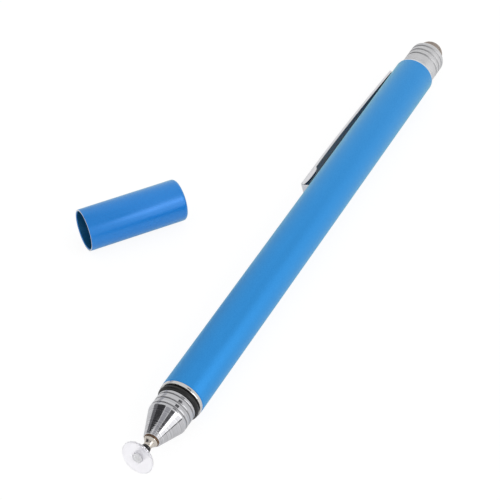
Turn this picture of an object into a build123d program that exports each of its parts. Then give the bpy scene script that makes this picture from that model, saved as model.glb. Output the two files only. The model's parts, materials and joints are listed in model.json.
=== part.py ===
from build123d import *
import os
from math import atan2, cos, degrees, radians, sin, tan

# A two-ended stylus pen lying on a table, with its cap pulled off and lying beside it.
# Millimetres. While the pieces are made, the pen's axis is the X axis, x = 0 is the barrel's front
# edge and the disc tip points to -X. At the end the set is moved so that the table is z = 0
# and the origin is under the middle of the set.

# Clearances
bond_gap = 0.03            # between pressed or glued round fits
slide_gap = 0.04           # between round fits that move
face_gap = 0.05            # between faces that come apart in use
slot_room = 0.25           # round the clip's tongue in its slot

# Rounds on turned pieces are made of straight facets
lip_facets = 3             # on the quarter rounds of the cap's and the ferrule's ends
shoulder_facets = 2        # on the cone's shoulder
ring_facets = 8            # round the O-ring's section
dome_facets = 5            # from the dome's side to its crown
core_facets = 2            # from the core's side to its crown
waist_facets = 3           # along the bell of the disc tip's ferrule

# Barrel, a drawn tube
barrel_diameter = 9.0
barrel_length = 108.3
barrel_wall = 0.6
barrel_edge = 0.2          # bevel of the tube's outer ends

# Cap, a drawn cup that fits over the nose
cap_wall = 0.4
cap_end_thickness = 0.6
cap_end_round = 0.8
cap_lip_bevel = 0.15       # bevel inside the mouth
cap_end_room = 5.25        # free length ahead of the disc when the cap is on
cap_mouth_ahead = 30.43    # place of the mouth's centre, along the barrel from its front edge
cap_mouth_aside = 40.06    # and across from the pen's axis
cap_turn = -36.84          # heading of the cap's closed end, about the vertical

# Nose: collar, O-ring, cone
collar_length = 0.8
collar_step = 0.05         # the collar is this much below the barrel's surface
spigot_length = 7.0
ring_section = 1.25        # thickness of the O-ring
ring_squeeze = 0.22        # how far the O-ring stands proud of the cap's bore
nose_room = 0.12           # between the cone's band and the cap's bore
band_length = 3.75
groove_count = 3
groove_start = 0.7         # first groove, from the band's rear edge
groove_pitch = 1.25
groove_width = 0.3
groove_depth = 0.14
cone_length = 5.65
cone_front_diameter = 3.5
cone_shoulder = 1.2        # rounding where the band turns into the cone
neck_wall = 0.61           # collar left between the O-ring and the cone's screwed tail
tail_length = 5.0          # the cone's tail, screwed into the collar

# Disc tip: bush, plug, neck, stop ring
bush_diameter = 2.6
bush_length = 6.0
bush_rim_diameter = 3.1
bush_rim_length = 0.25
plug_diameter = 1.9
plug_length = 5.4
flange_diameter = 2.85
flange_length = 0.1
waist_length = 1.5
waist_diameter = 1.68
waist_hollow = 0.19        # how far the bell curves in from a straight taper
stop_ring_length = 0.4
stop_ring_rear_diameter = 1.78
stop_ring_front_diameter = 1.95

# Ball joint and disc
ball_diameter = 1.5
stem_diameter = 0.8
stem_head_diameter = 1.25
stem_head_length = 0.6
stem_head_depth = 1.5      # from the flange's rear face into the plug
neck_length = 1.25         # from the stop ring's front to the ball's centre
socket_diameter = 2.3
socket_lip = 0.35          # how far the socket reaches past the ball's widest line
socket_boss_diameter = 2.0
dimple_diameter = 1.2
dimple_depth = 0.15
disc_diameter = 6.82
disc_thickness = 0.6
disc_edge = 0.2            # bevel of the disc's rim
disc_reach = 1.4           # from the ball's centre to the middle of the disc
disc_tilt = 12.0           # how the disc leans at rest
disc_tilt_heading = 66.0   # towards which side, from level (+Y) up to +Z

# Rear end: bush, ferrule and woven dome
rear_bush_tail = 4.0       # length of the bush beyond the clip's slot
pocket_floor = 0.42        # bush left between the clip's pocket and the ferrule's stud
stud_length = 5.0
ferrule_step = 0.525       # the ferrule is this much below the barrel's surface
ferrule_length = 7.7
ferrule_wall = 0.97        # round the dome's skirt
ferrule_lip_round = 0.8
ferrule_groove_count = 3
ferrule_groove_start = 3.2
ferrule_groove_pitch = 1.45
ferrule_groove_width = 0.5
ferrule_groove_depth = 0.18
dome_thickness = 0.5
dome_straight = 0.65       # straight stretch of the dome beyond the ferrule's lip
dome_depth = 4.0           # length of the dome's skirt inside the ferrule

# Clip, pressed from sheet
clip_sheet = 0.45
clip_width = 3.4
clip_length = 43.35
clip_setback = 1.35        # from the barrel's rear end to the clip's root
clip_heading = -15.0       # about the pen's axis, from level (+Y) up to +Z
clip_root_rise = 0.67      # outer face above the barrel at the root
clip_crest_rise = 1.8      # outer face above the barrel at the toe
clip_bow = 0.4             # how far the face arches above a straight line
toe_length = 6.4           # cupped end of the clip
toe_round = 0.6            # outside radius of the toe's long edges
toe_curl = 0.7             # outside radius where the face turns down to the barrel
toe_corner = 0.9           # outside radius of the toe's front corners
toe_gap = 0.1              # between the toe's foot and the barrel
foot_length = 1.1          # of the cheeks' front end, which reaches down to the barrel
opening_setback = 0.55     # from the toe's front to the opening under the cheeks
opening_drop = 0.35        # from the sheet down to the opening's front end
cheek_drop = 0.75          # how far the toe's cheeks reach below the sheet
cheek_belly = 4.2          # from the toe's front to the cheeks' lowest place
tongue_width = 2.4
tongue_depth = 1.2         # how far the tongue reaches inside the barrel's bore

# Worked-out sizes
barrel_radius = barrel_diameter / 2
bore_radius = barrel_radius - barrel_wall
cap_bore_radius = barrel_radius - cap_wall
band_radius = cap_bore_radius - nose_room
ring_outer_radius = cap_bore_radius + ring_squeeze
ring_inner_radius = ring_outer_radius - ring_section
neck_radius = ring_inner_radius - bond_gap
tail_radius = neck_radius - neck_wall - bond_gap

ring_rear_x = -collar_length
band_rear_x = ring_rear_x - ring_section - 2 * bond_gap
cone_rear_x = band_rear_x - band_length
cone_front_x = cone_rear_x - cone_length
rim_front_x = cone_front_x - bush_rim_length
flange_rear_x = rim_front_x - face_gap
waist_rear_x = flange_rear_x - flange_length
waist_front_x = waist_rear_x - waist_length
stop_front_x = waist_front_x - stop_ring_length
ball_x = stop_front_x - neck_length
disc_front_x = ball_x - disc_reach - disc_thickness / 2

ferrule_end_x = barrel_length + ferrule_length
dome_centre_x = ferrule_end_x + dome_straight
ferrule_radius = barrel_radius - ferrule_step
dome_radius = ferrule_radius - ferrule_wall - bond_gap
dome_skirt_x = ferrule_end_x - dome_depth

clip_root_x = barrel_length - clip_setback
clip_toe_x = clip_root_x - clip_length
toe_rear_x = clip_toe_x + toe_length
crest_radius = barrel_radius + clip_crest_rise
root_radius = barrel_radius + clip_root_rise
slot_front_x = clip_root_x - clip_sheet - slot_room
slot_length = clip_sheet + 2 * slot_room
pocket_radius = bore_radius - tongue_depth - slot_room
stud_radius = pocket_radius - pocket_floor - bond_gap

cap_length = ring_rear_x - disc_front_x + cap_end_room + cap_end_thickness


def turned(*points):
    """A solid turned on the pen's axis from the corners of its outline in (x, radius)."""
    return revolve(make_face(Polyline(*points, close=True)), Axis.X)


def arc_points(middle_x, middle_radius, radius, start, end, facets):
    """Points on a round stretch of an outline, from a start to an end angle in degrees."""
    angles = [radians(start + (end - start) * step / facets) for step in range(facets + 1)]
    return [(middle_x + radius * cos(angle), middle_radius + radius * sin(angle)) for angle in angles]


def ring_groove(x, radius, width, depth):
    """A V-shaped ring to cut round a turned piece."""
    return turned((x - width, radius + depth), (x + width, radius + depth), (x, radius - depth))


def round_edges(solid, x, radius):
    """The round edges of a turned solid at one place and radius."""
    near = 1e-3
    return [
        edge
        for edge in solid.edges().filter_by(GeomType.CIRCLE)
        if abs(edge.arc_center.X - x) < near and abs(edge.radius - radius) < near
    ]


def clip_slot(inner_radius, outer_radius):
    """The opening for the clip's tongue, between two radii on the clip's side of the pen."""
    width = tongue_width + 2 * slot_room
    block = Box(slot_length, outer_radius - inner_radius, width, align=(Align.MIN, Align.MIN, Align.CENTER))
    return Rot(clip_heading, 0, 0) * Pos(slot_front_x, inner_radius, 0) * block


def make_barrel():
    tube = turned(
        (0, bore_radius), (barrel_length, bore_radius),
        (barrel_length, barrel_radius), (0, barrel_radius),
    )
    ends = round_edges(tube, 0, barrel_radius) + round_edges(tube, barrel_length, barrel_radius)
    return chamfer(ends, barrel_edge) - clip_slot(pocket_radius, barrel_radius + slot_room)


def make_nose_collar():
    flange_radius = barrel_radius - collar_step
    spigot_radius = bore_radius - bond_gap
    thread_radius = tail_radius + bond_gap
    return turned(
        (band_rear_x, thread_radius), (spigot_length, thread_radius),
        (spigot_length, spigot_radius), (0, spigot_radius),
        (0, flange_radius), (ring_rear_x, flange_radius),
        (ring_rear_x, neck_radius), (band_rear_x, neck_radius),
    )


def make_seal_ring():
    section_radius = ring_section / 2
    middle_x = (ring_rear_x + band_rear_x) / 2
    middle_radius = ring_outer_radius - section_radius
    section = arc_points(middle_x, middle_radius, section_radius, 0, 360, ring_facets)
    return turned(*section[1:])


def make_nose_cone():
    front_radius = cone_front_diameter / 2
    bush_hole_radius = bush_diameter / 2 + bond_gap
    bush_hole_end_x = cone_front_x + bush_length + bond_gap
    slope = atan2(band_radius - front_radius, cone_length)
    shoulder_x = cone_rear_x + cone_shoulder * tan(slope / 2)
    shoulder = arc_points(
        shoulder_x, band_radius - cone_shoulder, cone_shoulder, 90, 90 + degrees(slope), shoulder_facets
    )
    body = turned(
        (cone_front_x, bush_hole_radius), (bush_hole_end_x, bush_hole_radius),
        (bush_hole_end_x, 0), (band_rear_x + tail_length, 0),
        (band_rear_x + tail_length, tail_radius), (band_rear_x, tail_radius),
        (band_rear_x, band_radius), *shoulder,
        (cone_front_x, front_radius),
    )
    for index in range(groove_count):
        groove_x = band_rear_x - groove_start - index * groove_pitch
        body -= ring_groove(groove_x, band_radius, groove_width, groove_depth)
    return body


def make_tip_bush():
    bore = plug_diameter / 2 + slide_gap
    sleeve_radius = bush_diameter / 2
    rim_radius = bush_rim_diameter / 2
    sleeve_end_x = cone_front_x + bush_length
    return turned(
        (rim_front_x, bore), (sleeve_end_x, bore),
        (sleeve_end_x, sleeve_radius), (cone_front_x, sleeve_radius),
        (cone_front_x, rim_radius), (rim_front_x, rim_radius),
    )


def make_tip_ferrule():
    stem_hole = stem_diameter / 2 + slide_gap
    head_hole = stem_head_diameter / 2 + slide_gap
    plug_radius = plug_diameter / 2
    flange_radius = flange_diameter / 2
    waist_radius = waist_diameter / 2
    plug_end_x = flange_rear_x + plug_length
    head_seat_x = flange_rear_x + stem_head_depth
    bell = []
    for step in range(waist_facets + 1):
        share = step / waist_facets
        straight = flange_radius + (waist_radius - flange_radius) * share
        bell.append((waist_rear_x - waist_length * share, straight - 4 * waist_hollow * share * (1 - share)))
    return turned(
        (waist_front_x, stem_hole),
        (head_seat_x, stem_hole), (head_seat_x, head_hole),
        (plug_end_x, head_hole), (plug_end_x, plug_radius),
        (flange_rear_x, plug_radius), (flange_rear_x, flange_radius),
        *bell,
    )


def make_stop_ring():
    hole = stem_diameter / 2 + slide_gap
    return turned(
        (waist_front_x, hole), (waist_front_x, stop_ring_rear_diameter / 2),
        (stop_front_x, stop_ring_front_diameter / 2), (stop_front_x, hole),
    )


def make_ball_stem():
    head_front_x = flange_rear_x + stem_head_depth + slide_gap
    head_rear_x = head_front_x + stem_head_length
    stem_radius = stem_diameter / 2
    head_radius = stem_head_diameter / 2
    pin = turned(
        (ball_x, 0), (head_rear_x, 0), (head_rear_x, head_radius),
        (head_front_x, head_radius), (head_front_x, stem_radius), (ball_x, stem_radius),
    )
    return pin + Pos(ball_x, 0, 0) * Sphere(ball_diameter / 2)


def lean(piece):
    """Lean a piece of the disc about the ball's centre, as it lies at rest."""
    heading = radians(disc_tilt_heading)
    hinge = Axis((ball_x, 0, 0), (0, sin(heading), -cos(heading)))
    return piece.rotate(hinge, disc_tilt)


def make_disc_socket():
    outer = socket_diameter / 2
    boss = socket_boss_diameter / 2
    disc_rear_x = disc_front_x + disc_thickness
    lip_x = ball_x + socket_lip
    hub = turned(
        (lip_x, 0), (lip_x, outer), (disc_rear_x, outer),
        (disc_rear_x, boss), (disc_front_x, boss), (disc_front_x, 0),
    )
    dimple = turned(
        (disc_front_x, 0), (disc_front_x, dimple_diameter / 2),
        (disc_front_x + dimple_depth, dimple_diameter / 2 - dimple_depth), (disc_front_x + dimple_depth, 0),
    )
    hollow = Pos(ball_x, 0, 0) * Sphere(ball_diameter / 2 + slide_gap)
    return lean(hub - dimple - hollow)


def make_touch_disc():
    hole = socket_boss_diameter / 2 + bond_gap
    rim = disc_diameter / 2
    disc_rear_x = disc_front_x + disc_thickness
    disc = turned((disc_front_x, hole), (disc_rear_x, hole), (disc_rear_x, rim), (disc_front_x, rim))
    edges = round_edges(disc, disc_front_x, rim) + round_edges(disc, disc_rear_x, rim)
    return lean(chamfer(edges, disc_edge))


def make_rear_bush():
    outer = bore_radius - bond_gap
    hole = stud_radius + bond_gap
    front_x = slot_front_x - rear_bush_tail
    body = turned((front_x, hole), (barrel_length, hole), (barrel_length, outer), (front_x, outer))
    return body - clip_slot(pocket_radius, barrel_radius)


def make_rear_ferrule():
    skirt_hole = dome_radius + bond_gap
    lip = arc_points(
        ferrule_end_x - ferrule_lip_round, ferrule_radius - ferrule_lip_round, ferrule_lip_round,
        90, 0, lip_facets,
    )
    body = turned(
        (barrel_length - stud_length, 0), (barrel_length - stud_length, stud_radius),
        (barrel_length, stud_radius), (barrel_length, ferrule_radius),
        *lip, (ferrule_end_x, skirt_hole),
        (dome_skirt_x, skirt_hole), (dome_skirt_x, 0),
    )
    for index in range(ferrule_groove_count):
        groove_x = barrel_length + ferrule_groove_start + index * ferrule_groove_pitch
        body -= ring_groove(groove_x, ferrule_radius, ferrule_groove_width, ferrule_groove_depth)
    return body


def dome_solid(radius, facets):
    """A round-ended plug with its flat end at the bottom of the ferrule's hole."""
    end = arc_points(dome_centre_x, 0, radius, 90, 0, facets)
    return turned((dome_skirt_x, 0), (dome_skirt_x, radius), *end)


def make_fibre_dome():
    return dome_solid(dome_radius, dome_facets) - dome_solid(dome_radius - dome_thickness, core_facets)


def make_fibre_core():
    return dome_solid(dome_radius - dome_thickness - bond_gap, core_facets)


def clip_face_radius(x):
    """Radius of the clip's outer face, a gentle arch from its root to its toe."""
    share = (clip_root_x - x) / clip_length
    straight = root_radius + (crest_radius - root_radius) * share
    return straight + 4 * clip_bow * share * (1 - share)


def clip_strip():
    """The arched strip between the clip's root and its toe."""
    stations = (toe_rear_x, (toe_rear_x + clip_root_x) / 2, clip_root_x)
    top = [(x, clip_face_radius(x)) for x in stations]
    under = [(x, radius - clip_sheet) for x, radius in top]
    outline = [
        ThreePointArc(*top), Line(top[2], under[2]),
        ThreePointArc(*reversed(under)), Line(under[0], top[0]),
    ]
    return extrude(make_face(Wire(outline)), amount=clip_width / 2, both=True)


def toe_space(inset, floor):
    """The space under the clip's cupped toe, drawn in by an inset."""
    front_x = clip_toe_x + inset
    top = clip_face_radius(toe_rear_x) - inset
    curl = toe_curl - inset
    curl_middle = (front_x + curl * (1 - cos(radians(45))), top - curl * (1 - sin(radians(45))))
    outline = [
        Line((toe_rear_x, floor), (toe_rear_x, top)),
        Line((toe_rear_x, top), (front_x + curl, top)),
        ThreePointArc((front_x + curl, top), curl_middle, (front_x, top - curl)),
        Line((front_x, top - curl), (front_x, floor)),
        Line((front_x, floor), (toe_rear_x, floor)),
    ]
    half_width = clip_width / 2 - inset
    side_view = extrude(make_face(Wire(outline)), amount=half_width, both=True)
    block = Box(toe_rear_x - front_x, top - floor, 2 * half_width, align=(Align.MIN, Align.MIN, Align.CENTER))
    block = Pos(front_x, floor, 0) * block
    end_view = fillet(block.edges().filter_by(Axis.X).group_by(Axis.Y)[-1], toe_round - inset)
    top_view = fillet(block.edges().filter_by(Axis.Y).group_by(Axis.X)[0], toe_corner - inset)
    return side_view & end_view & top_view


def cheek_cut():
    """The opening under the toe's cheeks, from their front end past a low belly to the strip."""
    under = clip_face_radius(toe_rear_x) - clip_sheet
    front_x = clip_toe_x + opening_setback
    front_radius = under - opening_drop
    lean_per_drop = (foot_length - opening_setback) / (front_radius - barrel_radius)
    floor_x = front_x + lean_per_drop * (front_radius - pocket_radius)
    belly_x = clip_toe_x + cheek_belly
    belly_radius = under - cheek_drop
    rear_middle = (
        belly_x + (toe_rear_x - belly_x) * sin(radians(45)),
        under - cheek_drop * cos(radians(45)),
    )
    outline = [
        Line((toe_rear_x, under), (toe_rear_x, pocket_radius)),
        Line((toe_rear_x, pocket_radius), (floor_x, pocket_radius)),
        Line((floor_x, pocket_radius), (front_x, front_radius)),
        Line((front_x, front_radius), (belly_x, belly_radius)),
        ThreePointArc((belly_x, belly_radius), rear_middle, (toe_rear_x, under)),
    ]
    return extrude(make_face(Wire(outline)), amount=clip_width, both=True)


def make_clip():
    toe = toe_space(0, pocket_radius) - toe_space(clip_sheet, pocket_radius) - cheek_cut()
    barrel_room = Cylinder(barrel_radius + toe_gap, 2 * barrel_length, rotation=(0, 90, 0))
    tongue_foot = bore_radius - tongue_depth
    tongue = Box(
        clip_sheet, root_radius - tongue_foot, tongue_width,
        align=(Align.MAX, Align.MIN, Align.CENTER),
    )
    pressing = clip_strip() + (toe - barrel_room) + Pos(clip_root_x, tongue_foot, 0) * tongue
    return Rot(clip_heading, 0, 0) * pressing


def make_cap_shell():
    shell_end_x = cap_length
    inside_end_x = cap_length - cap_end_thickness
    end_round = arc_points(
        shell_end_x - cap_end_round, barrel_radius - cap_end_round, cap_end_round, 0, 90, lip_facets
    )
    body = turned(
        (0, cap_bore_radius), (inside_end_x, cap_bore_radius), (inside_end_x, 0),
        (shell_end_x, 0), *end_round, (0, barrel_radius),
    )
    body = chamfer(round_edges(body, 0, cap_bore_radius), cap_lip_bevel)
    return Pos(cap_mouth_ahead, cap_mouth_aside, 0) * Rot(0, 0, cap_turn) * body


pieces = {
    "barrel": make_barrel(),
    "nose_collar": make_nose_collar(),
    "seal_ring": make_seal_ring(),
    "nose_cone": make_nose_cone(),
    "tip_bush": make_tip_bush(),
    "tip_ferrule": make_tip_ferrule(),
    "stop_ring": make_stop_ring(),
    "ball_stem": make_ball_stem(),
    "disc_socket": make_disc_socket(),
    "touch_disc": make_touch_disc(),
    "rear_bush": make_rear_bush(),
    "rear_ferrule": make_rear_ferrule(),
    "fibre_core": make_fibre_core(),
    "fibre_dome": make_fibre_dome(),
    "clip": make_clip(),
    "cap_shell": make_cap_shell(),
}

# Stand the set on the table, with the origin under its middle
middle = Compound(list(pieces.values())).bounding_box().center()
to_table = Pos(-middle.X, -middle.Y, barrel_radius)
os.makedirs("parts", exist_ok=True)
for name, piece in pieces.items():
    export_step(to_table * piece, f"parts/{name}.step")

# Places that the joints turn about, in the set's own frame
clip_hinge = Rot(clip_heading, 0, 0) * Pos(clip_root_x - clip_sheet / 2, barrel_radius, 0)
places = {
    "ball centre": Pos(ball_x, 0, 0),
    "nose": Pos(cone_front_x, 0, 0),
    "clip hinge": clip_hinge,
    "cap mouth": Pos(cap_mouth_ahead, cap_mouth_aside, 0),
}
for name, place in places.items():
    print(name, (to_table * place).position)
print("cap inside", cap_length - cap_end_thickness)
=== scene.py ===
import json
from math import asin, atan2, cos, pi, radians, sin, sqrt

import bpy
from mathutils import Matrix, Vector


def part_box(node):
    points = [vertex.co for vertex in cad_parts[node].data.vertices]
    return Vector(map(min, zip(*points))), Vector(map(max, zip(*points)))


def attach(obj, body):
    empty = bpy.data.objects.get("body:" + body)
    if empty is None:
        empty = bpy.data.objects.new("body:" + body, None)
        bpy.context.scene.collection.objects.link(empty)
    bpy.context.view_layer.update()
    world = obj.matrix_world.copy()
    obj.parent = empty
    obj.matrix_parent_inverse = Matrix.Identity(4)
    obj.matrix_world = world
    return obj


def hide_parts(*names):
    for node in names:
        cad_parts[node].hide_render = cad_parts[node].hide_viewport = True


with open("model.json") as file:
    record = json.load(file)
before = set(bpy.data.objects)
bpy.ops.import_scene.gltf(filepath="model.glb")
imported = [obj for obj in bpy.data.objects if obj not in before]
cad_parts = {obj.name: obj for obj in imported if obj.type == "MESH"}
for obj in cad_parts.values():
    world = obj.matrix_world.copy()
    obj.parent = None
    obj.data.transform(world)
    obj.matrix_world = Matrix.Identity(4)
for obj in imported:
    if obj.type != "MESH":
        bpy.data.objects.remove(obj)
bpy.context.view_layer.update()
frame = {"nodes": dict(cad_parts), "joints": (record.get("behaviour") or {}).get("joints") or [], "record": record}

# Barrel: a drawn aluminium tube, blasted to a fine grain and anodised blue, with its ends bevelled.
# A slot is milled through its wall near the rear end, where the clip's tongue goes in.
# Places on the pen are in millimetres along its axis from this tube's front edge.
mm = 0.001
barrel_low, barrel_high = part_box("barrel")
pen_front = Vector((barrel_low.x, (barrel_low.y + barrel_high.y) / 2, (barrel_low.z + barrel_high.z) / 2))
barrel_length = (barrel_high.x - barrel_low.x) / mm
barrel_radius = (barrel_high.z - barrel_low.z) / 2 / mm
barrel_wall = 0.6
barrel_bevel = 0.2
cut_depth = 0.12
cut_length = 0.5


def on_axis(x):
    """The place on the pen's axis at a distance from the barrel's front edge."""
    return pen_front + Vector((x * mm, 0, 0))


def settle():
    """Put the selected object's place, turn and size into its mesh."""
    bpy.ops.object.transform_apply(location=True, rotation=True, scale=True)


def face_outwards():
    """Turn all the faces of the piece in edit mode outwards."""
    bpy.ops.mesh.select_all(action="SELECT")
    bpy.ops.mesh.normals_make_consistent(inside=False)


def turn_on_lathe(name, rings, sides=128):
    """Turn a piece on the pen's axis: a circle at the first (x, radius) is drawn out from ring to ring."""
    bpy.ops.object.select_all(action="DESELECT")
    x, radius = rings[0]
    bpy.ops.mesh.primitive_circle_add(
        vertices=sides, radius=radius * mm, location=on_axis(x), rotation=(0, pi / 2, 0)
    )
    piece = bpy.context.object
    piece.name = name
    piece.data.name = name
    settle()
    bpy.ops.object.mode_set(mode="EDIT")
    bpy.ops.mesh.select_all(action="SELECT")
    for next_x, next_radius in rings[1:]:
        grow = next_radius / radius
        bpy.ops.mesh.extrude_region_move(TRANSFORM_OT_translate={"value": ((next_x - x) * mm, 0, 0)})
        bpy.ops.transform.resize(value=(1, grow, grow), center_override=on_axis(next_x))
        x, radius = next_x, next_radius
    if rings[0] == rings[-1]:
        bpy.ops.mesh.select_all(action="SELECT")
        bpy.ops.mesh.remove_doubles(threshold=0.001 * mm)
    else:
        bpy.ops.mesh.edge_face_add()
        bpy.ops.mesh.select_non_manifold(extend=False)
        bpy.ops.mesh.edge_face_add()
    face_outwards()
    bpy.ops.object.mode_set(mode="OBJECT")
    return piece


def make_active(piece):
    """Select one object alone, for the operators that follow."""
    bpy.ops.object.select_all(action="DESELECT")
    piece.select_set(True)
    bpy.context.view_layer.objects.active = piece


def break_edges(piece, width, segments=2, angle=30):
    """Break a piece's sharp edges by a small round, and smooth its curved faces."""
    make_active(piece)
    bevel = piece.modifiers.new("broken_edges", "BEVEL")
    bevel.width = width * mm
    bevel.segments = segments
    bevel.limit_method = "ANGLE"
    bevel.angle_limit = radians(angle)
    bpy.ops.object.modifier_apply(modifier=bevel.name)
    bpy.ops.object.shade_smooth_by_angle(angle=radians(angle))


def combine(piece, tool, operation):
    """Cut a tool from a piece, or join it to the piece, and clear the tool away."""
    make_active(piece)
    step = piece.modifiers.new("combine", "BOOLEAN")
    step.operation = operation
    step.object = tool
    step.solver = "EXACT"
    bpy.ops.object.modifier_apply(modifier=step.name)
    bpy.data.objects.remove(tool)


barrel = turn_on_lathe("barrel_tube", [
    (0, barrel_radius - barrel_wall), (0, barrel_radius - barrel_bevel), (barrel_bevel, barrel_radius),
    (barrel_length - cut_length, barrel_radius), (barrel_length, barrel_radius - cut_depth),
    (barrel_length, barrel_radius - barrel_wall), (0, barrel_radius - barrel_wall),
])

clip_joint = next(joint for joint in frame["joints"] if joint["name"] == "clip_flex")
clip_heading = atan2(clip_joint["axis"][1], -clip_joint["axis"][2])
clip_low, clip_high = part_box("clip")
clip_root = (clip_high.x - pen_front.x) / mm
clip_sheet = 0.45
tongue_width = 2.4
slot_room = 0.25
slot_reach = 2.0
bpy.ops.object.select_all(action="DESELECT")
bpy.ops.mesh.primitive_cube_add(size=1)
slot_cutter = bpy.context.object
slot_size = Vector((clip_sheet + 2 * slot_room, slot_reach, tongue_width + 2 * slot_room))
slot_cutter.scale = slot_size * mm
slot_cutter.location = (0, barrel_radius * mm, 0)
settle()
slot_middle = Matrix.Translation(on_axis(clip_root - clip_sheet / 2))
slot_cutter.matrix_world = slot_middle @ Matrix.Rotation(clip_heading, 4, "X")
settle()
combine(barrel, slot_cutter, "DIFFERENCE")
break_edges(barrel, width=0.04)


def new_material(name):
    """A material with one Principled shader, and its nodes and links."""
    material = bpy.data.materials.new(name)
    material.use_nodes = True
    tree = material.node_tree
    return material, tree.nodes, tree.links, tree.nodes["Principled BSDF"]


def set_inputs(node, **values):
    """Set sockets of a node by name, with _ for a space."""
    for socket, value in values.items():
        node.inputs[socket.replace("_", " ")].default_value = value
    return node


def new_group(name, values, outputs):
    """An empty shader group that takes a vector and some values and puts out values."""
    group = bpy.data.node_groups.new(name, "ShaderNodeTree")
    group.interface.new_socket("Vector", in_out="INPUT", socket_type="NodeSocketVector")
    for socket, value in values.items():
        made = group.interface.new_socket(socket, in_out="INPUT", socket_type="NodeSocketFloat")
        made.default_value = value
    for socket in outputs:
        group.interface.new_socket(socket, in_out="OUTPUT", socket_type="NodeSocketFloat")
    entry, leave = group.nodes.new("NodeGroupInput"), group.nodes.new("NodeGroupOutput")
    return group, group.nodes, group.links, entry, leave


# The grain of a blasted or moulded surface: fine specks over a slower cloudiness
grain_group, nodes, links, entry, leave = new_group(
    "surface_grain", {"Specks": 5200.0, "Clouds": 160.0}, ["Grain", "Cloud"]
)
specks = set_inputs(nodes.new("ShaderNodeTexNoise"), Detail=3.0, Roughness=0.65)
clouds = set_inputs(nodes.new("ShaderNodeTexNoise"), Detail=2.0, Roughness=0.5)
links.new(entry.outputs["Vector"], specks.inputs["Vector"])
links.new(entry.outputs["Specks"], specks.inputs["Scale"])
links.new(entry.outputs["Vector"], clouds.inputs["Vector"])
links.new(entry.outputs["Clouds"], clouds.inputs["Scale"])
links.new(specks.outputs["Fac"], leave.inputs["Grain"])
links.new(clouds.outputs["Fac"], leave.inputs["Cloud"])


def use_group(nodes, links, group, vector, **values):
    """Place a shader group in a material, fed with a vector and its own values."""
    node = nodes.new("ShaderNodeGroup")
    node.node_tree = group
    links.new(vector, node.inputs["Vector"])
    for socket, value in values.items():
        node.inputs[socket].default_value = value
    return node


def ramp(nodes, links, source, low, high, start=0.3, end=0.7):
    """A colour ramp over the middle of a noise, from one colour or value to another."""
    node = nodes.new("ShaderNodeValToRGB")
    for element, place, value in zip(node.color_ramp.elements, (start, end), (low, high)):
        element.position = place
        element.color = (*value, 1) if isinstance(value, tuple) else (value, value, value, 1)
    links.new(source, node.inputs["Fac"])
    return node.outputs["Color"]


def bump(nodes, links, shader, height, strength, distance):
    """Raise a surface by a height pattern; the distance is in millimetres."""
    node = set_inputs(nodes.new("ShaderNodeBump"), Strength=strength, Distance=distance * mm)
    links.new(height, node.inputs["Height"])
    links.new(node.outputs["Normal"], shader.inputs["Normal"])


def metal_skin(name, dark, light, smooth, rough, shine, metal):
    """A fine-grained skin on metal, dyed or bare."""
    material, nodes, links, shader = new_material(name)
    place = nodes.new("ShaderNodeTexCoord").outputs["Object"]
    grain = use_group(nodes, links, grain_group, place)
    links.new(ramp(nodes, links, grain.outputs["Grain"], dark, light), shader.inputs["Base Color"])
    links.new(ramp(nodes, links, grain.outputs["Cloud"], smooth, rough), shader.inputs["Roughness"])
    bump(nodes, links, shader, grain.outputs["Grain"], strength=0.12, distance=0.02)
    set_inputs(shader, Metallic=metal, Specular_IOR_Level=shine)
    return material


def tune(material, **values):
    """Set plain values on a material's own shader."""
    set_inputs(material.node_tree.nodes["Principled BSDF"], **values)


def dusty_sheen(material, weight, tint):
    """The paler sheen that a blasted and dyed skin shows at a slant."""
    tune(material, Sheen_Weight=weight, Sheen_Roughness=0.45, Sheen_Tint=(*tint, 1))


blue_anodised = metal_skin(
    "blue_anodised", (0.018, 0.25, 0.67), (0.032, 0.305, 0.75),
    smooth=0.4, rough=0.46, shine=0.3, metal=0.5,
)
dusty_sheen(blue_anodised, weight=0.9, tint=(0.24, 0.48, 0.26))
bare_cut = metal_skin(
    "bare_cut", (0.72, 0.73, 0.74), (0.84, 0.85, 0.86), smooth=0.12, rough=0.2, shine=0.5, metal=1.0
)


def dress(piece, material, body, slot, *nodes):
    """Give a piece its material, its body and the solids that it stands for. Its finish slot is not used."""
    piece.data.materials.clear()
    piece.data.materials.append(material)
    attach(piece, body)
    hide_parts(*nodes)


dress(barrel, blue_anodised, "pen", "blue_anodised", "barrel")
barrel.data.materials.append(bare_cut)
least_lean, most_lean = 0.2, 0.9
for face in barrel.data.polygons:
    if face.center.x > barrel_high.x - cut_length * mm and least_lean < face.normal.x < most_lean:
        face.material_index = 1

# Nose collar: a turned steel ring. Its spigot is pressed into the barrel's bore and its neck carries
# the O-ring; inside it is threaded for the cone's tail.


def span(node):
    """A turned node's front and rear ends from the barrel's front edge, and its largest radius."""
    low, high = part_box(node)
    return (low.x - pen_front.x) / mm, (high.x - pen_front.x) / mm, (high.z - low.z) / 2 / mm


collar_front, collar_rear, collar_radius = span("nose_collar")
ring_front, ring_rear, ring_radius = span("seal_ring")
ring_section = ring_rear - ring_front
bond_gap = 0.03
neck_radius = ring_radius - ring_section - bond_gap
neck_wall = 0.61
thread_radius = neck_radius - neck_wall
spigot_radius = barrel_radius - barrel_wall - bond_gap
collar_shoulder = collar_front + ring_section + 2 * bond_gap
collar = turn_on_lathe("collar_ring", [
    (collar_front, thread_radius), (collar_front, neck_radius), (collar_shoulder, neck_radius),
    (collar_shoulder, collar_radius), (0, collar_radius), (0, spigot_radius),
    (collar_rear, spigot_radius), (collar_rear, thread_radius), (collar_front, thread_radius),
])
break_edges(collar, width=0.08)

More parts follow.
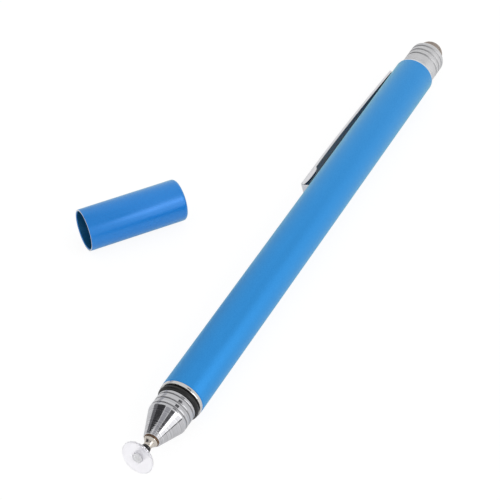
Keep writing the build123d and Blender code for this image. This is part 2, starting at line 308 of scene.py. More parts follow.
# The fine rings that a turning tool leaves: two sizes of uneven lines across the axis
lines_group, nodes, links, entry, leave = new_group(
    "turned_lines", {"Lines": 3600.0, "Bands": 1300.0}, ["Height", "Band"]
)
along = nodes.new("ShaderNodeSeparateXYZ")
links.new(entry.outputs["Vector"], along.inputs["Vector"])
fine = set_inputs(nodes.new("ShaderNodeTexNoise"), Detail=2.0, Roughness=0.6)
broad = set_inputs(nodes.new("ShaderNodeTexNoise"), Detail=1.0, Roughness=0.5)
for noise, count in ((fine, "Lines"), (broad, "Bands")):
    noise.noise_dimensions = "1D"
    links.new(along.outputs["X"], noise.inputs["W"])
    links.new(entry.outputs[count], noise.inputs["Scale"])
links.new(fine.outputs["Fac"], leave.inputs["Height"])
links.new(broad.outputs["Fac"], leave.inputs["Band"])


def turned_metal(name, dark, light, smooth, rough, line_strength):
    """A turned and plated metal, with tool lines in its colour, gloss and relief."""
    material, nodes, links, shader = new_material(name)
    place = nodes.new("ShaderNodeTexCoord").outputs["Object"]
    lines = use_group(nodes, links, lines_group, place)
    links.new(ramp(nodes, links, lines.outputs["Height"], dark, light), shader.inputs["Base Color"])
    links.new(ramp(nodes, links, lines.outputs["Band"], smooth, rough), shader.inputs["Roughness"])
    bump(nodes, links, shader, lines.outputs["Height"], line_strength, distance=0.012)
    set_inputs(shader, Metallic=1.0)
    return material


turned_steel = turned_metal(
    "turned_steel", (0.62, 0.61, 0.60), (0.74, 0.73, 0.72), smooth=0.08, rough=0.14, line_strength=0.15
)
dress(collar, turned_steel, "pen", "steel", "nose_collar")

# Seal ring: a moulded black rubber O-ring, which grips the cap.
# It is stretched over the collar's neck and sits in the groove between collar and cone.
ring_middle = (ring_front + ring_rear) / 2
ring_core = ring_radius - ring_section / 2
ring_steps = 24
ring_outline = [
    (ring_middle + ring_section / 2 * cos(2 * pi * step / ring_steps),
     ring_core + ring_section / 2 * sin(2 * pi * step / ring_steps))
    for step in range(ring_steps)
]
seal = turn_on_lathe("rubber_ring", ring_outline + ring_outline[:1])
make_active(seal)
bpy.ops.object.shade_smooth()


def specked_finish(name, dark, light, smooth, rough, relief, specks=2600.0):
    """A moulded, pressed or woven finish: fine specks in its colour, cloudy gloss and a slight relief."""
    material, nodes, links, shader = new_material(name)
    place = nodes.new("ShaderNodeTexCoord").outputs["Object"]
    grain = use_group(nodes, links, grain_group, place, Specks=specks)
    links.new(ramp(nodes, links, grain.outputs["Grain"], dark, light), shader.inputs["Base Color"])
    links.new(ramp(nodes, links, grain.outputs["Cloud"], smooth, rough), shader.inputs["Roughness"])
    bump(nodes, links, shader, grain.outputs["Grain"], relief, distance=0.02)
    return material


black_rubber = specked_finish(
    "black_rubber", (0.006, 0.006, 0.007), (0.012, 0.012, 0.013), smooth=0.3, rough=0.42, relief=0.1
)
tune(black_rubber, Specular_IOR_Level=0.35)
dress(seal, black_rubber, "pen", "black_rubber", "seal_ring")

# Nose cone: turned from brass bar and chromed. Three V-grooves run round its band, its front is bored
# for the brass bush, and its tail screws into the collar.
cone_front, tail_end, band_radius = span("nose_cone")
band_rear = collar_front
band_length = 3.75
cone_rear = band_rear - band_length
cone_front_radius = 1.75
bush_hole_radius = 1.33
bush_hole_depth = 6.03
bush_hole_end = cone_front + bush_hole_depth
tail_radius = thread_radius - bond_gap
first_groove = 0.7
groove_pitch = 1.25
groove_count = 3
groove_places = [band_rear - first_groove - groove_pitch * index for index in range(groove_count)]
groove_width = 0.15
groove_depth = 0.14


def v_grooves(places, radius, width, depth):
    """The outline of V-grooves along the axis; with a negative width it runs towards the front."""
    return [
        point
        for x in places
        for point in ((x - width, radius), (x, radius - depth), (x + width, radius))
    ]


groove_outline = v_grooves(groove_places, band_radius, -groove_width, groove_depth)
cone_round = 0.45
cone_slope = (band_radius - cone_front_radius) / (cone_rear - cone_front)
shoulder_outline = [
    (cone_rear + cone_round * (1 - step) / 2 - cone_round * step,
     band_radius - cone_slope * cone_round * step * step)
    for step in (0, 0.25, 0.5, 0.75, 1)
]
cone = turn_on_lathe("chromed_cone", [
    (tail_end, tail_radius), (band_rear, tail_radius), (band_rear, band_radius), *groove_outline,
    *shoulder_outline, (cone_front, cone_front_radius), (cone_front, bush_hole_radius),
    (bush_hole_end, bush_hole_radius),
])
break_edges(cone, width=0.05, angle=28)
bright_chrome = turned_metal(
    "bright_chrome", (0.48, 0.48, 0.50), (0.70, 0.70, 0.72), smooth=0.06, rough=0.14, line_strength=0.6
)
dress(cone, bright_chrome, "pen", "chrome", "nose_cone")
# The cone's groove flanks get a darker chrome: painted shade in the grooves.
groove_shade_chrome = turned_metal(
    "groove_shade_chrome", (0.22, 0.22, 0.23), (0.34, 0.34, 0.35), smooth=0.3, rough=0.4, line_strength=0.2
)


def paint_groove_shade(piece, material, radius, places, width, depth):
    """Give the flanks of a piece's V-grooves a rougher finish and a darker colour, which is painted shade in the
    grooves.
    """
    piece.data.materials.append(material)
    for face in piece.data.polygons:
        x = (face.center.x - pen_front.x) / mm
        sunk = radius - (face.center - on_axis(x)).length / mm
        if depth / 10 < sunk < depth and any(abs(x - place) < width for place in places):
            face.material_index = 1


paint_groove_shade(cone, groove_shade_chrome, band_radius, groove_places, groove_width, groove_depth)

# Tip bush: a plain brass sleeve that takes the replaceable tip.
# It is pressed into the cone's mouth, where its rim shows as a thin brown line.
rim_front, bush_end, rim_radius = span("tip_bush")
bush_radius = 1.3
plug_hole = 0.99
bush = turn_on_lathe("brass_bush", [
    (rim_front, plug_hole), (rim_front, rim_radius), (cone_front, rim_radius), (cone_front, bush_radius),
    (bush_end, bush_radius), (bush_end, plug_hole), (rim_front, plug_hole),
], sides=96)
break_edges(bush, width=0.04)
brass = turned_metal(
    "plain_brass", (0.14, 0.085, 0.05), (0.24, 0.15, 0.09), smooth=0.25, rough=0.35, line_strength=0.12
)
dress(bush, brass, "pen", "brass", "tip_bush")

# Tip ferrule: the nickel-plated plug of the disc tip, a push fit in the bush, with a flange that stops
# against the rim and a waist that is turned in to the stop ring.
waist_front, plug_end, flange_radius = span("tip_ferrule")
rim_gap = 0.05
flange_thickness = 0.1
flange_rear = rim_front - rim_gap
flange_front = flange_rear - flange_thickness
waist_radius = 0.84
waist_hollow = 0.19
plug_radius = 0.95
stem_hole = 0.44
head_hole = 0.665
seat_depth = 1.5
head_seat = flange_rear + seat_depth
waist_length = flange_front - waist_front
waist_outline = [
    (flange_front - waist_length * step,
     flange_radius + (waist_radius - flange_radius) * step - 4 * waist_hollow * step * (1 - step))
    for step in (0, 0.12, 0.25, 0.4, 0.55, 0.7, 0.85, 1)
]
ferrule = turn_on_lathe("nickel_plug", [
    (plug_end, head_hole), (plug_end, plug_radius), (flange_rear, plug_radius), (flange_rear, flange_radius),
    *waist_outline, (waist_front, stem_hole), (head_seat, stem_hole), (head_seat, head_hole),
    (plug_end, head_hole),
], sides=96)
break_edges(ferrule, width=0.05)
nickel = turned_metal(
    "warm_nickel", (0.60, 0.55, 0.49), (0.72, 0.67, 0.61), smooth=0.1, rough=0.18, line_strength=0.1
)
dress(ferrule, nickel, "tip", "nickel", "tip_ferrule")

# Stop ring: a small black plastic ring, moulded with a slight taper.
# It sits on the stem in front of the ferrule and keeps the tilting disc off it.
stop_front, stop_rear, stop_radius = span("stop_ring")
stop_rear_radius = 0.89
stop = turn_on_lathe("stop_ring_black", [
    (stop_rear, stem_hole), (stop_rear, stop_rear_radius), (stop_front, stop_radius),
    (stop_front, stem_hole), (stop_rear, stem_hole),
], sides=96)
break_edges(stop, width=0.1, segments=3)
black_plastic = specked_finish(
    "black_plastic", (0.010, 0.010, 0.011), (0.02, 0.02, 0.021), smooth=0.3, rough=0.42, relief=0.08
)
dress(stop, black_plastic, "tip", "black_plastic", "stop_ring")

# Ball stem: a headed steel pin with a ball turned on its end, held in the plug by its head.
# Its solid has the right shape and stays.


def keep_solid(node, material):
    """Keep a solid that has the right shape, with a better material."""
    piece = frame["nodes"][node]
    piece.data.materials.clear()
    piece.data.materials.append(material)
    make_active(piece)
    bpy.ops.object.shade_smooth_by_angle(angle=radians(30))


keep_solid("ball_stem", turned_steel)

# Disc socket: a clear moulded hub that snaps over the ball. Its boss goes through the disc and shows
# at the front as a ring with a dimple. It leans on the ball at rest.
tilt_joint = next(joint for joint in frame["joints"] if joint["name"] == "disc_tilt")
ball = Vector(tilt_joint["pos_m"])
ball_x = (ball.x - pen_front.x) / mm
disc_lean = radians(12)
disc_reach = 1.4
disc_thickness = 0.6
disc_front = ball_x - disc_reach - disc_thickness / 2
disc_rear = disc_front + disc_thickness
hollow_radius = 0.79
socket_lip = 0.35
socket_radius = 1.15
boss_radius = 1.0
dimple_radius = 0.6
dimple_depth = 0.15
lip_hole = sqrt(hollow_radius ** 2 - socket_lip ** 2)
lip_angle = asin(lip_hole / hollow_radius)
floor_angle = radians(170)
hollow_steps = 8
hollow_angles = [
    lip_angle + (floor_angle - lip_angle) * step / hollow_steps for step in range(hollow_steps + 1)
]
hollow_outline = [
    (ball_x + hollow_radius * cos(angle), hollow_radius * sin(angle)) for angle in hollow_angles
]
socket = turn_on_lathe("clear_socket", [
    (disc_front + dimple_depth, dimple_radius - dimple_depth), (disc_front, dimple_radius),
    (disc_front, boss_radius), (disc_rear, boss_radius), (disc_rear, socket_radius),
    (ball_x + socket_lip, socket_radius), *hollow_outline,
], sides=96)
break_edges(socket, width=0.05)


def lean_on_ball(piece):
    """Lean a piece of the disc about the ball's centre, as it lies at rest."""
    make_active(piece)
    turn = Matrix.Rotation(disc_lean, 4, Vector(tilt_joint["axis"]))
    piece.matrix_world = Matrix.Translation(ball) @ turn @ Matrix.Translation(-ball)
    settle()


lean_on_ball(socket)


def clear_plastic(name, dark, light, smooth, rough, relief, clear, bend):
    """Clear moulded plastic with a frosted skin; bend is how strongly it bends light."""
    material = specked_finish(name, dark, light, smooth, rough, relief, specks=4000.0)
    tune(material, Transmission_Weight=clear, IOR=bend)
    return material


clear_hub = clear_plastic(
    "clear_hub", (0.95, 0.95, 0.97), (0.985, 0.985, 1.0),
    smooth=0.35, rough=0.45, relief=0.05, clear=0.3, bend=1.4,
)
dress(socket, clear_hub, "disc", "clear_hub", "disc_socket")

# Touch disc: a clear, slightly frosted plastic disc that lies flat on the screen.
# It is punched from sheet with its rim bevelled, and welded round the hub's boss.
disc_low, disc_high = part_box("touch_disc")
disc_bevel = 0.2
disc_normal = Matrix.Rotation(disc_lean, 3, Vector(tilt_joint["axis"])) @ Vector((-1, 0, 0))
rim_lean = (disc_thickness / 2 - disc_bevel) * abs(disc_normal.y)
disc_radius = ((disc_high.y - disc_low.y) / 2 / mm - rim_lean) / sqrt(1 - disc_normal.y ** 2)
hole_radius = boss_radius + bond_gap
disc = turn_on_lathe("frosted_disc", [
    (disc_front, hole_radius), (disc_front, disc_radius - disc_bevel), (disc_front + disc_bevel, disc_radius),
    (disc_rear - disc_bevel, disc_radius), (disc_rear, disc_radius - disc_bevel), (disc_rear, hole_radius),
    (disc_front, hole_radius),
])
break_edges(disc, width=0.06)
lean_on_ball(disc)
frosted_disc = clear_plastic(
    "frosted_disc", (0.95, 0.94, 0.985), (0.985, 0.98, 1.0),
    smooth=0.3, rough=0.38, relief=0.05, clear=0.8, bend=1.25,
)
dress(disc, frosted_disc, "disc", "clear_disc", "touch_disc")

# Rear bush: a brass plug, pressed into the barrel's rear. It takes the ferrule's stud and the clip's tongue.
# Barrel and ferrule hide it, so its solid stays.
keep_solid("rear_bush", brass)

# Rear ferrule: turned from brass bar, grooved, and chromed to a satin finish.
# Its stud goes into the rear bush and its cup holds the dome's skirt.
stud_front, ferrule_end, ferrule_radius = span("rear_ferrule")
stud_radius = 1.8
skirt_front, dome_end, dome_radius = span("fibre_dome")
skirt_hole = dome_radius + bond_gap
lip_round = 0.8
first_rear_groove = 3.2
rear_groove_pitch = 1.45
rear_groove_places = [
    barrel_length + first_rear_groove + rear_groove_pitch * index for index in range(groove_count)
]
rear_groove_width = 0.25
rear_groove_depth = 0.18
rear_grooves = v_grooves(rear_groove_places, ferrule_radius, rear_groove_width, rear_groove_depth)


def rounded_end(end, radius, edge_round):
    """The rounded outer edge at a turned piece's rear end, from its side to its end face."""
    angles = [radians(angle) for angle in range(0, 91, 15)]
    return [
        (end - edge_round + edge_round * sin(angle), radius - edge_round + edge_round * cos(angle))
        for angle in angles
    ]


rear_ferrule = turn_on_lathe("chromed_ferrule", [
    (stud_front, stud_radius), (barrel_length, stud_radius), (barrel_length, ferrule_radius), *rear_grooves,
    *rounded_end(ferrule_end, ferrule_radius, lip_round), (ferrule_end, skirt_hole),
    (skirt_front, skirt_hole),
])
break_edges(rear_ferrule, width=0.05)
satin_chrome = turned_metal(
    "satin_chrome", (0.64, 0.64, 0.65), (0.74, 0.74, 0.75), smooth=0.46, rough=0.55, line_strength=0.12
)
dress(rear_ferrule, satin_chrome, "pen", "chrome", "rear_ferrule")
# The rear grooves' flanks get a darker satin chrome: painted shade in the grooves.
groove_shade_satin = turned_metal(
    "groove_shade_satin", (0.40, 0.40, 0.41), (0.50, 0.50, 0.51), smooth=0.46, rough=0.55, line_strength=0.12
)
paint_groove_shade(
    rear_ferrule, groove_shade_satin, ferrule_radius, rear_groove_places, rear_groove_width, rear_groove_depth
)

# Fibre core: a soft rubber plug that backs the woven dome.
# It is pushed into the dome's skirt and hidden by it, so its solid stays.
keep_solid("fibre_core", black_rubber)

# Fibre dome: a fine knit of metal-coated fibres, drawn over the core and held in the ferrule's cup.
# The knit's strands stand out from the cloth that they belong to.
dome_centre = dome_end - dome_radius
strand = 0.07
cloth_radius = dome_radius - strand
knit_radius = cloth_radius + strand / 2
knit_start = 0.5
knit_row = 0.3
skirt_rows = 4


def dome_outline(radius, steps, last_angle):
    """The dome's round end, from its skirt to near its crown."""
    angles = [radians(last_angle * step / steps) for step in range(steps + 1)]
    return [(dome_centre + radius * sin(angle), radius * cos(angle)) for angle in angles]


cloth_outline = dome_outline(cloth_radius, steps=16, last_angle=86)
dome = turn_on_lathe("woven_dome", [(skirt_front, cloth_radius), *cloth_outline], sides=96)
break_edges(dome, width=0.1)
knit_rows = [(ferrule_end - knit_start + knit_row * row, knit_radius) for row in range(skirt_rows)]
knit_outline = knit_rows + dome_outline(knit_radius, steps=15, last_angle=84)[1:]
knit = turn_on_lathe("knit_net", knit_outline, sides=64)
make_active(knit)
corner_count = len(knit.data.vertices)
bpy.ops.object.mode_set(mode="EDIT")
bpy.ops.mesh.select_all(action="SELECT")
bpy.ops.mesh.poke()
bpy.ops.mesh.select_all(action="DESELECT")
bpy.ops.object.mode_set(mode="OBJECT")
for edge in knit.data.edges:
    edge.select = all(index < corner_count for index in edge.vertices)
bpy.ops.object.mode_set(mode="EDIT")
bpy.ops.mesh.select_mode(type="EDGE")
bpy.ops.mesh.dissolve_edges(use_verts=False)
bpy.ops.object.mode_set(mode="OBJECT")
net = knit.modifiers.new("strands", "WIREFRAME")
net.thickness = strand * mm
net.use_even_offset = True
bpy.ops.object.modifier_apply(modifier=net.name)
bpy.ops.object.shade_smooth()
dome.select_set(True)
bpy.context.view_layer.objects.active = dome
bpy.ops.object.join()
woven_fibre = specked_finish(
    "woven_fibre", (0.33, 0.275, 0.24), (0.52, 0.45, 0.40),
    smooth=0.6, rough=0.75, relief=0.4, specks=9000.0,
)
tune(woven_fibre, Sheen_Weight=0.3, Sheen_Roughness=0.4)
dress(dome, woven_fibre, "pen", "woven_fibre", "fibre_dome")

# Clip: one piece of spring sheet, pressed to an arched strip with a cupped toe, then chromed. Its root is
# folded down to a tongue that goes through the barrel's slot into the bush.
clip_width = 3.4
clip_toe = (clip_low.x - pen_front.x) / mm
clip_length = clip_root - clip_toe
root_height = 0.67
crest_height = 1.95
root_radius = barrel_radius + root_height
crest_radius = barrel_radius + crest_height
clip_bow = 0.4
clip_crown = 0.28
toe_length = 6.4
toe_rear = clip_toe + toe_length
toe_round = 0.6
nose_round = 1.0
corner_round = 0.25
toe_gap = 0.1
opening_start = 0.16
opening_front = clip_toe + opening_start
opening_drop = 0.2
cheek_drop = 0.82
belly_start, belly_end = 3.2, 4.6
belly_front, belly_rear = clip_toe + belly_start, clip_toe + belly_end
tongue_depth = 1.2
tongue_foot = barrel_radius - barrel_wall - tongue_depth


def clip_face(x):
    """Height of the strip's outer face above the pen's axis, a gentle arch from root to toe."""
    share = (clip_root - x) / clip_length
    return root_radius + (crest_radius - root_radius) * share + 4 * clip_bow * share * (1 - share)


toe_top = clip_face(toe_rear)
toe_under = toe_top - clip_sheet
strip_steps = 12
strip_run = clip_root - toe_rear
strip_path = [
    (clip_root - strip_run * step / strip_steps, clip_face(clip_root - strip_run * step / strip_steps), 1.0)
    for step in range(strip_steps)
]
half_width = clip_width / 2
end_dip = 0.02
last_dip = 0.1
strip_path.append((toe_rear, toe_top - end_dip, 1 - end_dip))
strip_path.append((toe_rear - toe_round, toe_top - last_dip, 1 - toe_round / half_width))


def pick(piece, test, mode="VERT"):
    """In edit mode, select the corners, or the edges by their middles, that pass a test in millimetres."""
    bpy.ops.mesh.select_mode(type=mode)
    bpy.ops.mesh.select_all(action="DESELECT")
    bpy.ops.object.mode_set(mode="OBJECT")
    places = [corner.co / mm for corner in piece.data.vertices]
    if mode == "VERT":
        for corner, place in zip(piece.data.vertices, places):
            corner.select = test(place)
    else:
        for edge in piece.data.edges:
            edge.select = test((places[edge.vertices[0]] + places[edge.vertices[1]]) / 2)
    bpy.ops.object.mode_set(mode="EDIT")


def draw_out(x, y, z=0.0):
    """Extrude what is selected by a step in millimetres."""
    bpy.ops.mesh.extrude_region_move(TRANSFORM_OT_translate={"value": (x * mm, y * mm, z * mm)})


# The strip is drawn out from its root station by station, then its root is folded down
near = 0.01
strip_rows = 3
inner_rows = 0.4
bpy.ops.object.select_all(action="DESELECT")
bpy.ops.mesh.primitive_grid_add(
    x_subdivisions=1, y_subdivisions=strip_rows, size=mm, rotation=(pi / 2, 0, 0)
)
clip = bpy.context.object
clip.name = "spring_clip"
clip.data.name = "spring_clip"
settle()
bpy.ops.object.mode_set(mode="EDIT")
first, second = strip_path[0], strip_path[1]
middle_x = (first[0] + second[0]) / 2
pick(clip, lambda co: abs(co.z) < inner_rows)
bpy.ops.transform.resize(value=(1, 1, tongue_width / clip_width * strip_rows), center_override=(0, 0, 0))
bpy.ops.transform.translate(value=(0, clip_crown * mm, 0))
pick(clip, lambda co: True)
bpy.ops.transform.resize(value=(first[0] - second[0], 1, clip_width), center_override=(0, 0, 0))
bpy.ops.transform.translate(value=(middle_x * mm, first[1] * mm, 0))
pick(clip, lambda co: co.x < middle_x)
bpy.ops.transform.translate(value=(0, (second[1] - first[1]) * mm, 0))
pick(clip, lambda co: co.x < middle_x - near, "EDGE")
for here, there in zip(strip_path[1:], strip_path[2:]):
    draw_out(there[0] - here[0], there[1] - here[1])
    bpy.ops.transform.resize(value=(1, 1, there[2] / here[2]), center_override=(0, 0, 0))
pick(clip, lambda co: co.x > clip_root - near and abs(co.z) < near, "EDGE")
draw_out(0, tongue_foot - first[1])
face_outwards()
bpy.ops.object.mode_set(mode="OBJECT")
sheet = clip.modifiers.new("sheet", "SOLIDIFY")
sheet.thickness = clip_sheet * mm
sheet.offset = -1
sheet.use_even_offset = True
bpy.ops.object.modifier_apply(modifier=sheet.name)


def toe_block(front, rear, floor, top, half, inset):
    """A block over the toe, with its front, its folds along the top and its front corners rounded."""
    bpy.ops.object.select_all(action="DESELECT")
    bpy.ops.mesh.primitive_cube_add(size=mm)
    block = bpy.context.object
    block.scale = (rear - front, top - floor, 2 * half)
    block.location = ((front + rear) / 2 * mm, (floor + top) / 2 * mm, 0)
    settle()
    bpy.ops.object.mode_set(mode="EDIT")
    at_rear = rear - near
    rounds = (
        (nose_round, lambda co: co.x < front + near and co.y > top - near),
        (toe_round, lambda co: co.x < at_rear and co.y > top - near and abs(co.z) > half - near),
        (corner_round, lambda co: co.x < front + near and abs(co.z) > half - near),
    )
    for radius, test in rounds:
        pick(block, test, "EDGE")
        bpy.ops.transform.edge_bevelweight(value=max(radius - inset, 0) / nose_round)
    bpy.ops.object.mode_set(mode="OBJECT")
    folds = block.modifiers.new("folds", "BEVEL")
    folds.width = nose_round * mm
    folds.segments = 6
    folds.limit_method = "WEIGHT"
    bpy.ops.object.modifier_apply(modifier=folds.name)
    return block


# The opening under the cheeks: its side view is drawn point by point, filled and drawn out across the toe
wall_reach = 0.8
cut_over = 1.0
wall_floor = barrel_radius - wall_reach
opening_path = [
    (toe_rear + near, toe_under), (toe_rear + near, wall_floor - cut_over),
    (opening_front, wall_floor - cut_over),
]
opening_path += [
    (belly_front + (opening_front - belly_front) * cos(radians(angle)),
     toe_under - opening_drop + (opening_drop - cheek_drop) * sin(radians(angle)))
    for angle in range(0, 91, 15)
]
opening_path += [
    (belly_rear + (toe_rear - belly_rear) * sin(radians(angle)), toe_under - cheek_drop * cos(radians(angle)))
    for angle in range(0, 76, 15)
]
bpy.ops.object.select_all(action="DESELECT")
bpy.ops.mesh.primitive_plane_add(size=mm)
opening = bpy.context.object
bpy.ops.object.mode_set(mode="EDIT")
bpy.ops.mesh.select_mode(type="VERT")
bpy.ops.mesh.select_all(action="SELECT")
bpy.ops.mesh.merge(type="CENTER")
bpy.ops.transform.translate(value=(opening_path[0][0] * mm, opening_path[0][1] * mm, -clip_width * mm))
for here, there in zip(opening_path, opening_path[1:]):
    draw_out(there[0] - here[0], there[1] - here[1])
bpy.ops.mesh.select_all(action="SELECT")
bpy.ops.mesh.edge_face_add()
draw_out(0, 0, 2 * clip_width)
face_outwards()
bpy.ops.object.mode_set(mode="OBJECT")

bpy.ops.object.select_all(action="DESELECT")
bpy.ops.mesh.primitive_cylinder_add(
    vertices=128, radius=(barrel_radius + toe_gap) * mm, depth=4 * toe_length * mm,
    location=(clip_toe * mm, 0, 0), rotation=(0, pi / 2, 0),
)
barrel_room = bpy.context.object
toe = toe_block(clip_toe, toe_rear, wall_floor, toe_top + clip_crown, half_width, 0)
inside = toe_block(
    clip_toe + clip_sheet, toe_rear + cut_over, wall_floor - cut_over, toe_under + clip_crown,
    half_width - clip_sheet, clip_sheet,
)
for tool in (inside, opening, barrel_room):
    combine(toe, tool, "DIFFERENCE")
combine(clip, toe, "UNION")
bpy.ops.object.mode_set(mode="EDIT")
bpy.ops.mesh.select_all(action="SELECT")
bpy.ops.mesh.remove_doubles(threshold=0.01 * mm)
bpy.ops.object.mode_set(mode="OBJECT")
break_edges(clip, width=0.08)
flat = clip.modifiers.new("flat_faces", "WEIGHTED_NORMAL")
flat.keep_sharp = True
bpy.ops.object.modifier_apply(modifier=flat.name)
clip_chrome = specked_finish(
    "clip_chrome", (0.78, 0.78, 0.80), (0.85, 0.85, 0.87), smooth=0.26, rough=0.34, relief=0.02
)
# The clip's inside faces get a dark teal-grey: painted shade under the clip, tinted as a painted reflection of the
# blue barrel.
clip_underside_shade = specked_finish(
    "clip_underside_shade", (0.19, 0.23, 0.23), (0.26, 0.29, 0.29), smooth=0.2, rough=0.3, relief=0.05
)
for metal in (clip_chrome, clip_underside_shade):
    tune(metal, Metallic=1.0)
dress(clip, clip_chrome, "clip", "chrome", "clip")
clip.data.materials.append(clip_underside_shade)
# Faces that look in towards the barrel, behind the toe's front wall, take the painted shade.
facing_in = -0.65
for face in clip.data.polygons:
    x = face.center.x / mm
    behind_front = x > clip_toe + clip_sheet + near
    depth = clip_face(x) - face.center.y / mm
    if face.normal.y < facing_in and behind_front and depth > clip_sheet / 2 - clip_crown:
        face.material_index = 1
make_active(clip)
clip.matrix_world = Matrix.Translation(pen_front) @ Matrix.Rotation(clip_heading, 4, "X")
settle()

# Cap: a drawn aluminium cup with a rounded closed end, blasted and anodised with the barrel. It lies
# open beside the pen.
mouth = next(mount for mount in frame["record"]["mounts"] if mount["name"] == "cap_mouth")
cap_axis = -Vector(mouth["axis"])
cap_wall = 0.4
cap_bevel = 0.15
cap_inside = mouth["dims"]["length_mm"] + cap_bevel
cap_end_thickness = 0.6
cap_length = cap_inside + cap_end_thickness
cap_round = 0.8
cap_bore = barrel_radius - cap_wall
cap = turn_on_lathe("cap_cup", [
    (cap_inside, cap_bore), (cap_bevel, cap_bore), (0, cap_bore + cap_bevel), (0, barrel_radius),
    *rounded_end(cap_length, barrel_radius, cap_round),
])
break_edges(cap, width=0.04)
make_active(cap)
cap_mouth = Vector(mouth["pos_m"]) - cap_axis * (cap_inside / 2 * mm)
cap_turn = Matrix.Rotation(-Vector((1, 0)).angle_signed(cap_axis.xy), 4, "Z")
cap.matrix_world = Matrix.Translation(cap_mouth) @ cap_turn @ Matrix.Translation(-pen_front)
settle()
# The cap's blue is a deeper copy of the barrel's anodised skin, which paints the cap's darker shade.
cap_shade_blue = metal_skin(
    "cap_shade_blue", (0.002, 0.19, 0.63), (0.008, 0.24, 0.71), smooth=0.27, rough=0.33, shine=0.6, metal=0.2
)
dusty_sheen(cap_shade_blue, weight=0.9, tint=(0.19, 0.38, 0.22))
# The inside of the cup gets a much darker blue: painted shade inside the cap.
cap_inside_shade_blue = metal_skin(
    "cap_inside_shade_blue", (0.006, 0.10, 0.24), (0.012, 0.14, 0.30),
    smooth=0.25, rough=0.32, shine=0.4, metal=0.5,
)
dress(cap, cap_shade_blue, "cap", "blue_anodised", "cap_shell")
cap.data.materials.append(cap_inside_shade_blue)
cap.data.materials.append(bare_cut)
facing_out = -0.9
# Faces inside the cup take the painted shade; faces that look out of the mouth take the bare cut rim.
for face in cap.data.polygons:
    from_mouth = face.center - cap_mouth
    depth = from_mouth.dot(cap_axis)
    if depth > cap_bevel * mm and (from_mouth - depth * cap_axis).length < (cap_bore + near) * mm:
        face.material_index = 1
    elif face.normal.dot(cap_axis) < facing_out:
        face.material_index = 2

# Table: a wide sheet of white paper under the set, which keeps the set's soft shadow.
# It glows where it is seen straight or through clear plastic, so that it is white there.
bpy.ops.object.select_all(action="DESELECT")
bpy.ops.mesh.primitive_plane_add(size=3, location=(0, 0, 0))
table = bpy.context.object
table.name = "white_table"
white_table, nodes, links, shader = new_material("white_table")
set_inputs(shader, Base_Color=(0.85, 0.85, 0.85, 1), Roughness=0.9)
seen_share = 0.85
mirrored_share = 0.2


def math_node(nodes, links, operation, *values):
    """The result of a Math node that is fed with sockets and plain numbers."""
    node = nodes.new("ShaderNodeMath")
    node.operation = operation
    for socket, value in zip(node.inputs, values):
        if isinstance(value, float):
            socket.default_value = value
        else:
            links.new(value, socket)
    return node.outputs["Value"]


def seen_straight(nodes, links):
    """1 for light on its way to the camera, straight or through clear plastic, and otherwise 0."""
    path = nodes.new("ShaderNodeLightPath")
    return math_node(
        nodes, links, "MAXIMUM", path.outputs["Is Camera Ray"], path.outputs["Is Transmission Ray"]
    )


in_gloss = nodes.new("ShaderNodeLightPath").outputs["Is Glossy Ray"]
mirrored = math_node(nodes, links, "MULTIPLY", in_gloss, mirrored_share)
glow_share = math_node(nodes, links, "MULTIPLY_ADD", seen_straight(nodes, links), seen_share, mirrored)
glow = set_inputs(nodes.new("ShaderNodeEmission"), Color=(1, 1, 1, 1), Strength=1.06)
paper = nodes.new("ShaderNodeMixShader")
links.new(glow_share, paper.inputs[0])
links.new(shader.outputs["BSDF"], paper.inputs[1])
links.new(glow.outputs["Emission"], paper.inputs[2])
links.new(paper.outputs["Shader"], nodes["Material Output"].inputs["Surface"])
table.data.materials.append(white_table)

# Studio: an even white surround, with soft boxes to the right of the pen and above it.
# Dark cards stand where the bright metal mirrors them. Camera, shadows and dull surfaces don't see them.
world = bpy.data.worlds.new("white_surround")
bpy.context.scene.world = world
world.use_nodes = True
nodes, links = world.node_tree.nodes, world.node_tree.links
set_inputs(nodes["Background"], Color=(1, 1, 1, 1))
surround = 0.85
level = math_node(nodes, links, "MULTIPLY_ADD", seen_straight(nodes, links), 1 - surround, surround)
links.new(level, nodes["Background"].inputs["Strength"])
nose_middle = -8.0
flag_tint = 1.05
nose = on_axis(nose_middle)


def face_pen(location):
    """The turn that faces a lamp or a flag squarely to the pen's axis."""
    return (Vector((location.x, nose.y, nose.z)) - location).to_track_quat("-Z", "Y").to_euler()


def soft_box(name, offset, width, height, power):
    """A studio lamp with a white front, at an offset in metres from the nose."""
    data = bpy.data.lights.new(name, "AREA")
    data.shape = "RECTANGLE"
    data.energy = power
    data.size = width
    data.size_y = height
    lamp = bpy.data.objects.new(name, data)
    bpy.context.scene.collection.objects.link(lamp)
    lamp.location = nose + Vector(offset)
    lamp.rotation_euler = face_pen(lamp.location)
    lamp.visible_camera = False


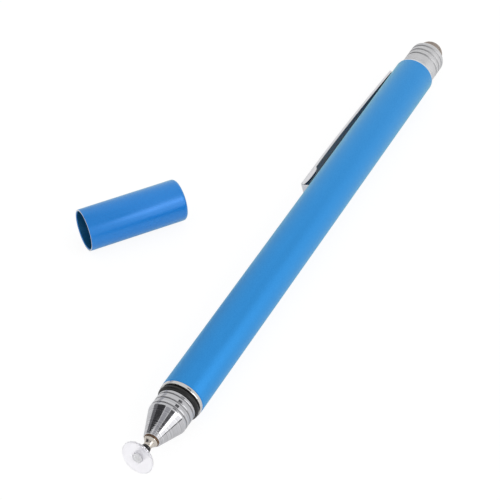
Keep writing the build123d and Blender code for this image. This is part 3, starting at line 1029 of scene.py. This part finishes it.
def dark_flag(name, offset, width, height, shade):
    """A dark card that the bright metal mirrors, at an offset in metres from the nose."""
    bpy.ops.object.select_all(action="DESELECT")
    bpy.ops.mesh.primitive_plane_add(size=1, location=nose + Vector(offset))
    flag = bpy.context.object
    flag.name = name
    flag.scale = (width, height, 1)
    flag.rotation_euler = face_pen(flag.location)
    material, nodes, links, shader = new_material(name)
    set_inputs(shader, Base_Color=(0, 0, 0, 1), Specular_IOR_Level=0.0)
    set_inputs(shader, Emission_Color=(shade, shade, shade * flag_tint, 1), Emission_Strength=1.0)
    flag.data.materials.append(material)
    flag.visible_camera = False
    flag.visible_diffuse = False
    flag.visible_shadow = False


soft_box("barrel_box", (0.28, -0.9, 0.35), width=0.36, height=0.6, power=0.65)
soft_box("cone_box", (-0.16, -0.92, 0.34), width=0.64, height=0.56, power=0.65)
soft_box("cap_box", (-0.16, -0.72, 0.67), width=0.6, height=0.3, power=1.3)
dark_flag("left_low_flag", (0.05, 0.96, 0.28), width=0.6, height=0.42, shade=0.2)
dark_flag("left_flag", (-0.06, 0.65, 0.76), width=0.6, height=0.78, shade=0.06)
dark_flag("upper_flag", (-0.2, 0.03, 1.0), width=0.7, height=0.46, shade=0.47)
dark_flag("top_flag", (-0.3, -0.46, 0.88), width=0.38, height=0.44, shade=0.13)
dark_flag("band_flag", (0.6, -0.46, 0.88), width=0.4, height=0.4, shade=0.13)
dark_flag("right_flag", (-0.06, -1.0, 0.05), width=0.6, height=0.1, shade=0.04)
dark_flag("back_flag", (0.66, 0.96, 0.24), width=0.4, height=0.4, shade=0.5)

# Camera: at the photograph's place, in front of the pen, above it and to its right.
# Its aim and a slight roll put the pen where the photograph has it.
camera_roll = -0.0017
camera_data = bpy.data.cameras.new("camera")
camera_data.sensor_width = 36
camera_data.lens = 130.095
camera_data.clip_start = 0.01
camera = bpy.data.objects.new("camera", camera_data)
bpy.context.scene.collection.objects.link(camera)
under_front = Vector((pen_front.x, pen_front.y, 0))
camera.location = under_front + Vector((-0.19169, -0.11448, 0.26295))
camera_aim = under_front + Vector((0.045169, 0.009077, 0))
camera.rotation_euler = (camera_aim - camera.location).to_track_quat("-Z", "Y").to_euler()
camera.rotation_euler.rotate_axis("Z", camera_roll)
bpy.context.scene.camera = camera
bpy.context.scene.view_settings.view_transform = "Standard"
